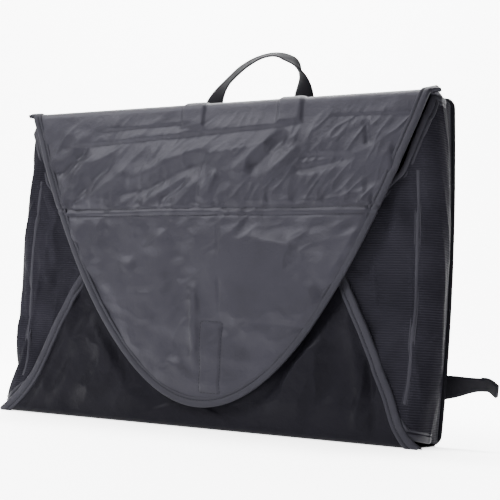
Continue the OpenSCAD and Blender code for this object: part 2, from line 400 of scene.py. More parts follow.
def board_material():
    mat = bpy.data.materials.new("board")
    mat.use_nodes = True
    tree = mat.node_tree
    shader = tree.nodes["Principled BSDF"]
    place = tree.nodes.new("ShaderNodeTexCoord").outputs["Object"]
    tone = cloud(tree, place, 30 * MM)
    color = blend_colors(tree, tone, (0.62, 0.62, 0.6), (0.78, 0.78, 0.76))
    tree.links.new(color, shader.inputs["Base Color"])
    bump = node(tree, "ShaderNodeBump", Strength=0.3, Distance=1.0)
    tree.links.new(math_node(tree, "MULTIPLY", cloud(tree, place, MM), 0.1 * MM), bump.inputs["Height"])
    tree.links.new(bump.outputs["Normal"], shader.inputs["Normal"])
    shader.inputs["Roughness"].default_value = 0.5
    return mat


NYLON = fabric("nylon", (0.0032, 0.0031, 0.0043), (0.0118, 0.0114, 0.015), 0.46, 0.55 * MM, 0.05 * MM,
               crumple=1.2 * MM, crumple_size=8 * MM, ior=1.2)
DARK_NYLON = fabric("dark_nylon", (0.0013, 0.0012, 0.0018), (0.0046, 0.0044, 0.0058), 0.42,
                    0.55 * MM, 0.05 * MM,
                    crumple=1.8 * MM, ior=1.1)
MESH = fabric("ribbed_mesh", (0.0009, 0.0009, 0.0013), (0.0105, 0.0101, 0.0132), 0.6, 0.9 * MM, 0.05 * MM,
              crumple=0.8 * MM, ribs=2.2 * MM, rib_depth=0.35 * MM, ior=1.04)
LINING = fabric("lining", (0.006, 0.006, 0.007), (0.012, 0.012, 0.0135), 0.65, 0.5 * MM, 0.04 * MM,
                crumple=1.2 * MM, ior=1.1)
TAPE = fabric("binding_tape", (0.006, 0.0058, 0.0075), (0.014, 0.0137, 0.017), 0.55, 0.9 * MM, 0.07 * MM,
              ior=1.15)
DARK_TAPE = fabric("dark_tape", (0.002, 0.002, 0.0025), (0.0055, 0.0054, 0.0067), 0.6, 0.9 * MM, 0.07 * MM,
                   ior=1.06)
WEBBING = fabric("webbing", (0.0016, 0.0016, 0.002), (0.005, 0.0049, 0.006), 0.65, 1.3 * MM, 0.16 * MM,
                 ior=1.1)
THREAD = fabric("thread", (0.003, 0.003, 0.0037), (0.008, 0.008, 0.0098), 0.65, 0.3 * MM, 0.02 * MM,
                ior=1.12)
HOOKS = fabric("hook_tape", (0.003, 0.003, 0.0035), (0.01, 0.01, 0.011), 0.7, 1.5 * MM, 0.5 * MM, ior=1.2)
LOOPS = fabric("loop_tape", (0.004, 0.004, 0.0045), (0.012, 0.012, 0.0135), 0.85, 0.8 * MM, 0.15 * MM,
               crumple=0.8 * MM, crumple_size=2 * MM, sheen=0.03, ior=1.15)


# ---------------------------------------------------------------- top flap

LEAN = 10 * MM            # the filled front sits this far to the right of the back
RIM_R = 6 * MM
FLAT = REAR_Y - FLAP_Y - RIM_R
ARC = RIM_R * math.pi / 2
HEM_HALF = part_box("top_gusset")[1].x


def flap_edge_z(x):
    return TIP_Z + (HEIGHT - TIP_Z) * (x / FLAP_HALF) ** 2


def flap_relief(x, h):
    """How far the top flap stands out, where h is the height, counted on over the rim."""
    above = ramp(h, SEAM_Z - MM, SEAM_Z + 7 * MM)
    below = 1.0 - above
    left = ramp(x, 60 * MM, -90 * MM)
    inside = ramp(h - flap_edge_z(x), 0.0, 22 * MM)
    top_fade = ramp(h, HEIGHT - 2 * MM, HEIGHT - 30 * MM)
    d = 5.0 * MM * ramp(h, TIP_Z, 150 * MM) * ramp(h, HEIGHT + 2 * MM, 240 * MM)
    d = d * (1 - (x / FLAP_HALF) ** 2)
    d += 2.0 * MM * ramp(h, HEIGHT + 20 * MM, HEIGHT - 10 * MM)
    slanted = folds(x, h, 38, 105 * MM, 27 * MM, 21)
    level = folds(x, h, 8, 90 * MM, 20 * MM, 33)
    small = folds(x, h, 55, 34 * MM, 9 * MM, 45)
    d += above * top_fade * inside * MM * (left * 2.0 * slanted + (1 - left) * 1.1 * level + 0.8 * small)
    d += above * top_fade * MM * 2.4 * layered(x / (66 * MM) + h / (80 * MM), h / (34 * MM), 5, 2)
    near_seam = np.exp(-np.clip(h - SEAM_Z, 0, None) / (14 * MM)) * above
    gather = noise(x / (5.5 * MM) + 0.6 * noise(x / (20 * MM), h / (20 * MM), 61), h / (26 * MM), 63)
    strength = 0.75 + 0.25 * ramp(x, 0, 60 * MM)
    d += MM * 2.6 * near_seam * gather * strength * inside
    under = np.exp(-np.clip(SEAM_Z - 7 * MM - h, 0, None) / (9 * MM)) * below
    d += MM * 0.6 * under * noise(x / (9 * MM), h / (22 * MM), 67) * inside
    d += below * inside * MM * (4.6 * noise(x / (74 * MM) + h / (110 * MM), h / (52 * MM), 72)
                                + 2.6 * layered(x / (25 * MM), h / (19 * MM), 71, 2)
                                + 0.9 * folds(x, h, 30, 40 * MM, 17 * MM, 73))
    # The felled seam: a sewn valley, a flat band and a second valley.
    for z, depth in ((SEAM_Z, 1.5), (SEAM_Z - 6.5 * MM, 0.9)):
        d -= depth * MM * np.exp(-((h - z) / (1.0 * MM)) ** 2)
    d += 0.8 * MM * ramp(h, SEAM_Z - 7 * MM, SEAM_Z - 5 * MM) * ramp(h, SEAM_Z + MM, SEAM_Z - MM)
    # The tuck that runs below the rim, and the second one above it on the left.
    d += lap(x, h, (-165, 273), (88, 284), 3.2, 13)
    d += lap(x, h, (-128, 288), (-18, 291), 2.2, 7)
    d += lap(x, h, (128, 291), (206, 289), 1.6, 9)
    # Deep slanted valleys and the ridges beside them.
    for a, b, wide, depth in (((-168, 208), (-108, 258), 5, -3.0), ((-180, 243), (-146, 268), 4, -2.2),
                              ((-96, 219), (-2, 254), 10, -4.2), ((-88, 232), (-6, 266), 8, 2.2),
                              ((-50, 216), (-20, 236), 4, -2.0), ((-140, 214), (-92, 246), 6, 2.2),
                              ((96, 240), (146, 250), 4, -2.0), ((100, 252), (146, 253), 3, -1.2),
                              ((47, 243), (82, 274), 7, -3.2), ((30, 236), (66, 268), 7, 2.0),
                              ((60, 232), (96, 262), 5, 1.8), ((-6, 214), (12, 240), 6, 2.2),
                              ((160, 284), (163, 262), 3, -1.2), ((188, 262), (189, 232), 3, -1.4)):
        d += crease(x, h, a, b, wide, 1.35 * depth, 0.35)
    # The tongue: a long soft ridge, the middle crease and the sewn patch behind the tip.
    d += crease(x, h, (-9, 130), (-4, 58), 4.5, 2.6)
    d += crease(x, h, (15, 192), (21, 104), 1.6, -0.9)
    d += crease(x, h, (30, 100), (112, 97), 4, -1.2, 0.5)
    d += crease(x, h, (34, 172), (60, 116), 12, 1.6)
    d += crease(x, h, (-90, 150), (-40, 180), 12, 1.5)
    edge = np.maximum(np.abs(x - 0.5 * (PATCH_LOW.x + PATCH_HIGH.x)) - 0.5 * (PATCH_HIGH.x - PATCH_LOW.x),
                      np.abs(h - 0.5 * (PATCH_LOW.z + PATCH_HIGH.z)) - 0.5 * (PATCH_HIGH.z - PATCH_LOW.z))
    d += 0.7 * MM * ramp(edge, 1.2 * MM, -0.6 * MM) - 0.7 * MM * np.exp(-(edge / (1.0 * MM)) ** 2)
    # The ends of the handle press through below the rim.
    for middle in (HANDLE_X - HANDLE_SPAN / 2 + 8 * MM, HANDLE_X + HANDLE_SPAN / 2 + 8 * MM):
        box = np.maximum(np.abs(x - middle) - 12 * MM, np.abs(h - 300 * MM) - 13 * MM)
        d += 1.7 * MM * ramp(box, 2.5 * MM, -2.5 * MM)
    return np.clip(d, -2.2 * MM, 9.0 * MM)


HANDLE_LOW, HANDLE_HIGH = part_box("handle_webbing")
LEFT_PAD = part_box("left_handle_anchor")
RIGHT_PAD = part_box("right_handle_anchor")
HANDLE_SPAN = 0.5 * (RIGHT_PAD[0].x + RIGHT_PAD[1].x - LEFT_PAD[0].x - LEFT_PAD[1].x)
HANDLE_X = 0.25 * (RIGHT_PAD[0].x + RIGHT_PAD[1].x + LEFT_PAD[0].x + LEFT_PAD[1].x)


def flap_surface(x, s):
    """Outer face of the top flap's cloth and its normal: s runs from the back rim over the top."""
    s = np.asarray(s, float)
    a = np.clip((s - FLAT) / RIM_R, 0, math.pi / 2)
    y = REAR_Y - np.minimum(s, FLAT) - RIM_R * np.sin(a)
    z = HEIGHT - RIM_R * (1 - np.cos(a)) - np.clip(s - FLAT - ARC, 0, None)
    h = HEIGHT - RIM_R + FLAT + ARC - s
    normal = np.stack([np.zeros_like(a), -np.sin(a), np.cos(a)], -1)
    out = flap_relief(x, h) * ramp(s, 0, 30 * MM)
    forward = ramp(s, 0, FLAT)
    across = x + LEAN * forward + 5 * MM * ramp(z, HEIGHT, TIP_Z)
    point = np.stack([across, y, z], -1) + normal * out[..., None]
    return point, normal


def flap_length(x):
    return FLAT + ARC + (HEIGHT - RIM_R - flap_edge_z(x))


def build_top_flap():
    columns, gusset_rows, flap_rows = 300, 34, 200
    u = np.linspace(-1, 1, columns)
    x_flap = u * FLAP_HALF * 0.998
    rows = []
    for t in np.linspace(0, 1, gusset_rows, endpoint=False):
        s = np.full(columns, t * (FLAT + ARC * 0.5))
        x = u * (HEM_HALF + (FLAP_HALF * 0.998 - HEM_HALF) * t)
        rows.append((x, s))
    start, end = FLAT + ARC * 0.5, np.maximum(flap_length(x_flap), FLAT + ARC * 0.5 + 0.4 * MM)
    for t in np.linspace(0, 1, flap_rows):
        rows.append((x_flap, start + (end - start) * t))
    x, s = (np.array([r[k] for r in rows]) for k in (0, 1))
    points, _ = flap_surface(x, s)
    obj = sheet_object("top_flap_cloth", points, np.stack([x, s], -1), NYLON, flip=True)
    flat = 2 * HEM_HALF * start + np.trapz(end - start, x_flap)
    return obj, flat


TAPE_STEP = 1.6 * MM


def flap_edge_path():
    """(x, s) along the flap's edge: forward beside the top gusset, round the tongue and back."""
    t = np.linspace(0, 1, 24)[:-1]
    x_side = -(HEM_HALF + (FLAP_HALF - HEM_HALF) * t)
    s_side = t * (FLAT + ARC)
    x_round = np.sin(np.linspace(-math.pi / 2, math.pi / 2, 400)) * FLAP_HALF
    s_round = flap_length(x_round)
    x = np.concatenate([x_side, x_round, -x_side[::-1]])
    s = np.concatenate([s_side, s_round, s_side[::-1]])
    return x, s


def build_flap_tape():
    x, s = flap_edge_path()
    points, normals = facing(flap_surface, x, s, 2 * MM, 2 * MM)
    points, normals, _ = resample(points, normals, TAPE_STEP)
    return tape_pieces("top_flap", points, normals)


def tape_pieces(prefix, points, normals, side=1.0, closed=False, width=TAPE_W, material=None):
    """A folded binding tape along an edge, with its stitches in the sewn groove."""
    tape, inward, normal, tangent = sweep(prefix + "_binding_tape", points, normals, tape_section(width),
                                          material or TAPE, side=side, closed=closed)
    line = points + inward * 0.64 * width + normal * 0.5 * TAPE_T
    row = stitch_row(prefix + "_binding_stitches", line, normal, tangent, THREAD)
    return tape, row


# ---------------------------------------------------------------- bottom flap

FOOT_R = 5 * MM
BOTTOM_FLAT = REAR_Y - BOTTOM_Y - FOOT_R


def bezier(points, t):
    p = np.array(points, float)
    t = np.asarray(t, float)[..., None]
    return (1 - t) ** 3 * p[0] + 3 * (1 - t) ** 2 * t * p[1] + 3 * (1 - t) * t * t * p[2] + t ** 3 * p[3]


SIDE_POINTS = [(HALF_W + 1 * MM, 0.0), (186 * MM, 30 * MM), (182 * MM, 95 * MM), (128 * MM, BOTTOM_HEM_Z)]
SIDE_CURVE = bezier(SIDE_POINTS, np.linspace(0, 1, 200))

# Creases of the bottom flap in mm: from, to, width and how far each stands out.
BOTTOM_CREASES = [
    ((-175, 14), (-132, 118), 10, -3.2),
    ((-146, 8), (-118, 66), 12, -3.0),
    ((-196, 8), (-158, 92), 5, -2.0),
    ((-120, 20), (-92, 80), 16, 2.6),
    ((120, 10), (150, 92), 11, -3.6),
    ((172, 14), (150, 110), 6, 2.6),
    ((186, 12), (166, 84), 4, -2.0),
    ((84, 24), (126, 84), 14, 2.6),
    ((40, 22), (92, 50), 9, -2.0),
]


def bottom_half(z):
    return np.interp(z, SIDE_CURVE[:, 1], SIDE_CURVE[:, 0])


def bottom_relief(x, z):
    free = ramp(flap_edge_z(x) - z, 2 * MM, 26 * MM)
    low = ramp(z, 3 * MM, 34 * MM)
    d = 4.0 * MM * low * free * (1 - (x / (240 * MM)) ** 2)
    d += free * low * MM * (2.6 * noise(x / (46 * MM) - z / (130 * MM), z / (70 * MM), 82)
                            + 2.2 * layered(x / (34 * MM), z / (40 * MM), 81)
                            + 2.4 * folds(x, z, 72, 95 * MM, 30 * MM, 83))
    for a, b, wide, depth in BOTTOM_CREASES:
        d += free * crease(x, z, a, b, wide, depth, 0.3)
    # A loose fold of cloth lies under the tip of the tongue.
    d += lap(x, z, (62, 3), (-4, 28), 3.2, 16, 0.8) * low
    d += lap(x, z, (-22, 22), (-60, 8), 2.4, 16, 0.8) * low
    return np.clip(d, -1.8 * MM, 7.5 * MM)


def bottom_surface(x, s):
    """Outer face of the bottom flap's cloth: s from the back rim under the bag and up the front."""
    s = np.asarray(s, float)
    a = np.clip((s - BOTTOM_FLAT) / FOOT_R, 0, math.pi / 2)
    y = REAR_Y - np.minimum(s, BOTTOM_FLAT) - FOOT_R * np.sin(a)
    z = FOOT_R * (1 - np.cos(a)) + np.clip(s - BOTTOM_FLAT - FOOT_R * math.pi / 2, 0, None)
    normal = np.stack([np.zeros_like(a), -np.sin(a), -np.cos(a)], -1)
    out = bottom_relief(x, z) * ramp(s, BOTTOM_FLAT, BOTTOM_FLAT + 8 * MM)
    point = np.stack([x + LEAN * ramp(s, 0, BOTTOM_FLAT + 20 * MM) * ramp(z, 0, 50 * MM), y, z], -1)
    return point + normal * out[..., None], normal


BOTTOM_LENGTH = BOTTOM_FLAT + FOOT_R * (math.pi / 2 - 1) + BOTTOM_HEM_Z


def bottom_height(s):
    a = np.clip((s - BOTTOM_FLAT) / FOOT_R, 0, math.pi / 2)
    return FOOT_R * (1 - np.cos(a)) + np.clip(s - BOTTOM_FLAT - FOOT_R * math.pi / 2, 0, None)


def build_bottom_flap():
    columns, rows = 280, 170
    u = np.linspace(-1, 1, columns)
    s = np.linspace(0, BOTTOM_LENGTH, rows)
    half = bottom_half(bottom_height(s))
    half = np.where(s < BOTTOM_FLAT, HALF_W - 5 * MM - 3 * MM * s / BOTTOM_FLAT, half)
    x = u[None, :] * half[:, None]
    s_grid = np.repeat(s[:, None], columns, 1)
    points, _ = bottom_surface(x, s_grid)
    obj = sheet_object("bottom_flap_cloth", points, np.stack([x, s_grid], -1), DARK_NYLON)
    return obj, 2 * np.trapz(half, s)


def build_bottom_tape():
    """Up the left edge, along the hem and down the right edge."""
    z_side = np.linspace(1.5 * MM, BOTTOM_HEM_Z, 140)
    s_of = lambda z: BOTTOM_FLAT + FOOT_R * math.pi / 2 + z - FOOT_R
    round_foot = BOTTOM_FLAT + FOOT_R * np.arccos(np.clip(1 - z_side / FOOT_R, -1, 1))
    s_side = np.where(z_side < FOOT_R, round_foot, s_of(z_side))
    x_side = bottom_half(z_side)
    hem = np.linspace(-1, 1, 160)[1:-1] * x_side[-1]
    x = np.concatenate([-x_side, hem, x_side[::-1]])
    s = np.concatenate([s_side, np.full(len(hem), BOTTOM_LENGTH), s_side[::-1]])
    points, normals = facing(bottom_surface, x, s, 2 * MM, 2 * MM)
    points, normals, _ = resample(points, normals, TAPE_STEP)
    return tape_pieces("bottom_flap", points, normals, side=-1.0, width=9.5 * MM)


# ---------------------------------------------------------------- sides and wings

def side_relief(q, z, seed, side):
    """How far a side's ribbed cloth stands out; q runs from the back rim to the wing's inner end."""
    d = MM * (2.2 * layered(q / (40 * MM), z / (95 * MM), seed)
              + 1.6 * folds(z, q, 12, 120 * MM, 26 * MM, seed + 3))
    if side < 0:
        d = 1.5 * d
    if side > 0:
        for a, b, wide, depth in (((112, 200), (140, 150), 11, -3.0), ((108, 128), (126, 92), 9, -2.6),
                                  ((92, 96), (112, 60), 8, 2.0), ((96, 230), (108, 180), 7, 2.2)):
            d = d + crease(q, z, a, b, wide, depth)
    else:
        for a, b, wide, depth in (((74, 236), (100, 190), 8, -3.4), ((64, 150), (84, 100), 8, -3.4),
                                  ((70, 96), (56, 50), 8, 3.0), ((104, 190), (118, 150), 6, 2.6),
                                  ((90, 176), (112, 128), 7, 3.0), ((92, 226), (112, 204), 5, 2.4)):
            d = d + crease(q, z, a, b, wide, depth)
    return d


SIDE_COUNT, WING_COUNT = 70, 74
SIDE_Q = 78 * MM                      # unrolled depth of a side gusset
WING_W = FOLD_X - WING_IN_X - 8 * MM  # flat reach of a wing past the rounded fold


def side_surface(column, z, side):
    """Outer face of one side. column runs 0 to 1 round the gusset and 1 to 2 along the wing."""
    column, z = np.broadcast_arrays(np.asarray(column, float), np.asarray(z, float))
    t = np.clip(column, 0, 1)
    w = np.clip(column - 1, 0, 1) * WING_W
    middle = np.sin(math.pi * np.clip(z / HEIGHT, 0, 1)) ** 0.8
    top_corner = ramp(z, HEIGHT - 70 * MM, HEIGHT) * (0.0 if side > 0 else 1.0)
    corner = np.maximum(ramp(z, 60 * MM, 0), top_corner)
    rear_y = BOW_Y + np.sqrt((BOW_R - 2.0 * MM) ** 2 - (z - HEIGHT / 2) ** 2)
    swell = 9 * MM * middle if side > 0 else 11 * MM * middle
    x0 = HALF_W - 3.5 * MM + 0 * z
    x1 = HALF_W - 2 * MM + 0.5 * swell
    x2 = HALF_W - 9 * MM + 11 * MM * corner + 1.9 * swell
    x3 = FOLD_X - 5 * MM + 7 * MM * corner + 0.9 * swell
    y1, y2, y3 = 0.45 * rear_y, WING_Y + 4 * MM, WING_Y - 0.6 * MM
    b = [(1 - t) ** 3, 3 * (1 - t) ** 2 * t, 3 * (1 - t) * t * t, t ** 3]
    x = b[0] * x0 + b[1] * x1 + b[2] * x2 + b[3] * x3 - w
    y = b[0] * rear_y + b[1] * y1 + b[2] * y2 + b[3] * y3
    dx = 3 * ((1 - t) ** 2 * (x1 - x0) + 2 * (1 - t) * t * (x2 - x1) + t * t * (x3 - x2))
    dy = 3 * ((1 - t) ** 2 * (y1 - rear_y) + 2 * (1 - t) * t * (y2 - y1) + t * t * (y3 - y2))
    normal = unit(np.stack([-dy, dx, 0 * x], -1))
    flat = np.stack([0 * x, -1 + 0 * x, 0 * x], -1)
    to_wing = ramp(column, 0.93, 1.0)[..., None]
    normal = unit(normal * (1 - to_wing) + flat * to_wing)
    q = t * SIDE_Q + w
    out = side_relief(q, z, 91 if side > 0 else 191, side)
    hidden = np.maximum(ramp(z, flap_edge_z(x + LEAN) - 2 * MM, flap_edge_z(x + LEAN) + 14 * MM),
                        ramp(bottom_half(z) - x, -6 * MM, 10 * MM) * ramp(z, 171 * MM, 168 * MM))
    low = np.where(column > 0.9, -1.0 * MM, -2.5 * MM)
    high = 4.5 * MM * (1 - hidden * ramp(column, 0.9, 1.05))
    out = np.clip(out, low, high) * ramp(t, 0.0, 0.2)
    point = np.stack([x, y, z], -1) + normal * out[..., None]
    point[..., 0] *= side
    normal = normal * np.array([side, 1.0, 1.0])
    point[..., 0] += LEAN * ramp(point[..., 1], REAR_Y, WING_Y) * ramp(z, 0, 60 * MM)
    return point, normal, q


def side_top(column):
    w = np.clip(column - 1, 0, 1) * WING_W
    rise = (HEIGHT - 2 * MM - WING_TOP_Z) * ramp(column, 1.02, 0.78)
    steep = WING_TOP_Z - (WING_TOP_Z - SHOULDER_Z) * w / SHOULDER_IN
    gentle = SHOULDER_Z - WING_SLOPE * (w - SHOULDER_IN)
    bend = 3 * MM
    return rise + gentle + bend * np.log1p(np.exp((steep - gentle) / bend))


def side_bottom(column):
    w = np.clip(column - 1, 0, 1) * WING_W
    fall = (WING_BOTTOM_Z - 2 * MM) * (1 - np.clip(column, 0, 1)) ** 0.8
    return WING_BOTTOM_Z - fall + 1.0 * w


def build_side(name, side):
    column = np.concatenate([np.linspace(0, 1, SIDE_COUNT, endpoint=False), np.linspace(1, 2, WING_COUNT)])
    top, bottom = side_top(column), side_bottom(column)
    t = np.linspace(0, 1, 150)[:, None]
    z = bottom + (top - bottom) * t
    points, _, q = side_surface(column[None, :], z, side)
    obj = sheet_object(name, points, np.stack([q, z], -1), MESH, thickness=0.9 * MM, flip=side < 0)
    side_widths = np.full(SIDE_COUNT, SIDE_Q / SIDE_COUNT)
    width = np.concatenate([side_widths, np.full(WING_COUNT, WING_W / WING_COUNT)])
    return obj, float(((top - bottom) * width).sum())


TAPE_START = 0.45         # how far round the gusset its tape starts, from the back


def side_edge_path(side):
    """Along the top edge from the back rim, down the wing's inner end and back along the bottom edge."""
    column = np.concatenate([np.linspace(TAPE_START, 1, 60, endpoint=False), np.linspace(1, 2, 90)])
    inner = np.linspace(side_top(2.0), side_bottom(2.0), 60)[1:-1]
    c = np.concatenate([column, np.full(len(inner), 2.0), column[::-1]])
    z = np.concatenate([side_top(column), inner, side_bottom(column[::-1])])
    return facing(lambda c, z: side_surface(c, z, side), c, z, 0.03, 2 * MM)


def build_side_tape(prefix, side):
    points, normals = side_edge_path(side)
    points, normals, _ = resample(points, normals, TAPE_STEP)
    return tape_pieces(prefix, points, normals, side=side)


FOLD_TAPE_LOW, FOLD_TAPE_HIGH = 37 * MM, 240 * MM


def build_fold_seam(prefix, side):
    """The double-stitched tape that runs up a wing just inside its fold."""
    z = np.linspace(FOLD_TAPE_LOW, FOLD_TAPE_HIGH, 150)
    column = np.full_like(z, 1.0 + 5 * MM / WING_W)
    points, normals = facing(lambda c, z: side_surface(c, z, side), column, z, 3 * MM / WING_W, 2 * MM)
    half, groove = 3.0 * MM, 1.9 * MM
    section = [(-half, -0.6 * MM), (-half, 0.7 * MM), (-groove - 0.4 * MM, 0.95 * MM), (-groove, 0.5 * MM),
               (-groove + 0.4 * MM, 0.95 * MM), (0.0, 1.1 * MM), (groove - 0.4 * MM, 0.95 * MM),
               (groove, 0.5 * MM), (groove + 0.4 * MM, 0.95 * MM), (half, 0.7 * MM), (half, -0.6 * MM)]
    tape, inward, normal, tangent = sweep(prefix + "_fold_tape", points, normals, section, TAPE)
    rows = []
    for k, offset in enumerate((-groove, groove)):
        line = points + inward * offset + normal * 0.6 * MM
        rows.append(stitch_row(f"{prefix}_row{k}", line, normal, tangent, THREAD))
    return tape, join(prefix + "_fold_stitches", rows)


# ---------------------------------------------------------------- back

RIGHT_EAR, LEFT_EAR = 7 * MM, 2 * MM


def ear(x, z):
    """How far the back's stuffed top corners stand up above its straight rim."""
    right, left = RIGHT_EAR * ramp(x, 150 * MM, HALF_W), LEFT_EAR * ramp(x, -170 * MM, -HALF_W)
    return ramp(z, HEIGHT - 70 * MM, HEIGHT) * (right + left)


def bowed(x, z, out):
    r = BOW_R + out
    tilt = np.stack([0 * x, np.sqrt(np.clip(r ** 2 - (z - HEIGHT / 2) ** 2, 0, None)), z - HEIGHT / 2], -1)
    return np.stack([x, BOW_Y + tilt[..., 1], z + ear(x, z)], -1), unit(tilt)


def back_half(z, inset):
    """Half width of the back's rounded rectangle at a height."""
    r = 10 * MM - inset
    up = np.clip(z - inset, 0, HEIGHT - 2 * inset)
    from_end = np.minimum(up, HEIGHT - 2 * inset - up)
    cut = np.where(from_end < r, r - np.sqrt(np.clip(r ** 2 - (r - from_end) ** 2, 0, None)), 0)
    return HALF_W - inset - cut


def back_layer(name, inset, out, relief, material, thickness, flip):
    rows, columns = 150, 200
    z = inset + (HEIGHT - 2 * inset) * (0.5 - 0.5 * np.cos(np.linspace(0.02, math.pi - 0.02, rows)))
    u = np.linspace(-1, 1, columns)
    x = u[None, :] * back_half(z, inset)[:, None]
    z = np.repeat(z[:, None], columns, 1)
    rim = ramp(HALF_W - inset - np.abs(x), 0, 22 * MM) * ramp(np.minimum(z, HEIGHT - z) - inset, 0, 22 * MM)
    points, _ = bowed(x, z, out + relief(x, z) * rim)
    obj = sheet_object(name, points, np.stack([x, z], -1), material, thickness=thickness, flip=flip)
    return obj, 4 * (HALF_W - inset) * (HEIGHT / 2 - inset)


def under_webbing(x, z):
    """0 where the handle and the straps are sewn flat to the back, 1 away from them."""
    keep = 1.0
    for low, high in (LEFT_PAD, RIGHT_PAD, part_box("left_strap_anchor"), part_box("right_strap_anchor")):
        outside = np.maximum(np.maximum(low.x - x, x - high.x), np.maximum(low.z - z, z - high.z))
        keep = keep * ramp(outside, 2 * MM, 16 * MM)
    return keep


def back_relief(x, z):
    d = 1.5 * layered(x / (80 * MM), z / (60 * MM), 301) + 0.9 * folds(x, z, 15, 110 * MM, 30 * MM, 303)
    d = d + 0.5 * folds(x, z, -40, 50 * MM, 16 * MM, 307)
    for x0, side in ((-HALF_W, 1), (HALF_W, -1)):
        for z0 in (0, HEIGHT):
            up = 1 if z0 == 0 else -1
            start = (x0 / MM + side * 12, z0 / MM + up * 10)
            end = (x0 / MM + side * 70, z0 / MM + up * 60)
            d = d + crease(x, z, start, end, 8, -1.3) / MM
    return np.clip(d, -0.6, 3.5) * MM * under_webbing(x, z)


def lining_relief(x, z):
    d = 0.8 * layered(x / (60 * MM), z / (45 * MM), 311) + 0.8 * folds(x, z, 75, 90 * MM, 30 * MM, 313)
    return -np.clip(d, 0.0, 2.0) * MM


def build_back_tape():
    inset = 1.0 * MM
    r = 9 * MM
    corners = [(1, 1, 0), (-1, 1, 90), (-1, -1, 180), (1, -1, 270)]
    outline = []
    for sx, sz, start in corners:
        cx, cz = sx * (HALF_W - inset - r), HEIGHT / 2 + sz * (HEIGHT / 2 - inset - r)
        for a in np.radians(np.linspace(start, start + 90, 14)):
            outline.append((cx + r * math.cos(a), cz + r * math.sin(a)))
    outline.append(outline[0])
    xz = np.array(outline)
    s = np.concatenate([[0], np.cumsum(np.linalg.norm(np.diff(xz, axis=0), axis=1))])
    at = np.linspace(0, s[-1], 900)[:-1]
    x, z = np.interp(at, s, xz[:, 0]), np.interp(at, s, xz[:, 1])
    points, normals = bowed(x, z, 1.6 * MM + 0 * x)
    return tape_pieces("back", points, normals, side=-1.0, closed=True, material=DARK_TAPE)


# ---------------------------------------------------------------- webbing

def ribbon(name, middle, face, width, thickness, material):
    """Webbing along middle, lying on face, its normal. The edges are rounded selvedges."""
    tangent = unit(np.gradient(middle, axis=0))
    face = unit(face - (face * tangent).sum(1, keepdims=True) * tangent)
    across = np.cross(tangent, face)
    w, t = np.broadcast_to(width, len(middle))[:, None, None], thickness
    shape = []
    for u in np.linspace(-1, 1, 13):
        shape.append((u, 0.5 * (1 - 0.55 * abs(u) ** 6) + (0.08 if 0.8 < abs(u) < 0.95 else 0)))
    shape += [(u, -v) for u, v in reversed(shape)]
    shape = np.array(shape)
    verts = (middle[:, None] + across[:, None] * shape[None, :, :1] * w / 2
             + face[:, None] * shape[None, :, 1:] * t)
    m = len(shape)
    faces = grid_faces(len(middle), m, closed_columns=True)
    faces += [tuple(range(m)), tuple((len(middle) - 1) * m + j for j in reversed(range(m)))]
    s = along_path(middle)
    cloth = np.stack(np.broadcast_arrays(s[:, None], shape[None, :, 0] * float(np.max(width)) / 2), -1)
    obj = make_object(name, verts, faces, cloth)
    obj.data.materials.append(material)
    fix_normals(obj)
    return obj, tangent, face, across


HANDLE_BASE_Z = HANDLE_LOW.z + 0.2 * MM
HANDLE_Y = 0.5 * (HANDLE_LOW.y + HANDLE_HIGH.y)
HANDLE_W = LEFT_PAD[1].x - LEFT_PAD[0].x
LOOP = [(-HANDLE_SPAN / 2, 0.0), (-HANDLE_SPAN / 2 - 4 * MM, 46 * MM),
        (HANDLE_SPAN / 2 + 2 * MM, 110 * MM), (HANDLE_SPAN / 2, 0.0)]
LOOP_TURNS = [(0.0, 0.3, 45), (0.3, 0.7, 24), (0.72, 1.0, 111)]   # start, end and angle of each turn
PAD_LOW_Z = LEFT_PAD[0].z


def build_handle():
    """The loop and the two sewn ends that run down the back, in one length of webbing."""
    t = np.linspace(0, 1, 170)
    xz = bezier(LOOP, t)
    turn = sum(math.radians(angle) * ramp(t, start, end) for start, end, angle in LOOP_TURNS)
    loop = np.stack([HANDLE_X + xz[:, 0], np.full(len(t), HANDLE_Y), HANDLE_BASE_Z + xz[:, 1]], 1)
    along = unit(np.gradient(loop, axis=0))
    ahead = np.array([0.0, 1.0, 0.0])
    out = unit(np.cross(ahead, along))
    face = np.cos(turn)[:, None] * ahead + np.sin(turn)[:, None] * out
    tail_z = np.linspace(PAD_LOW_Z, HEIGHT - 2 * MM, 40)
    ends = []
    for side in (-1, 1):
        x = np.full(len(tail_z), HANDLE_X + side * HANDLE_SPAN / 2)
        p, n = bowed(x, tail_z, 3.1 * MM)
        ends.append((p, n))
    middle = np.concatenate([ends[0][0], loop, ends[1][0][::-1]])
    normal = np.concatenate([ends[0][1], face, -ends[1][1][::-1]])
    obj, *_ = ribbon("handle_loop", middle, normal, HANDLE_W * 0.92, 1.9 * MM, WEBBING)
    pieces = []
    for k, (p, n) in enumerate(ends):
        pieces.append(box_stitch(f"handle_pad{k}", p, n, HANDLE_W * 0.92, 1.0 * MM))
    return obj, join("handle_stitches", pieces)


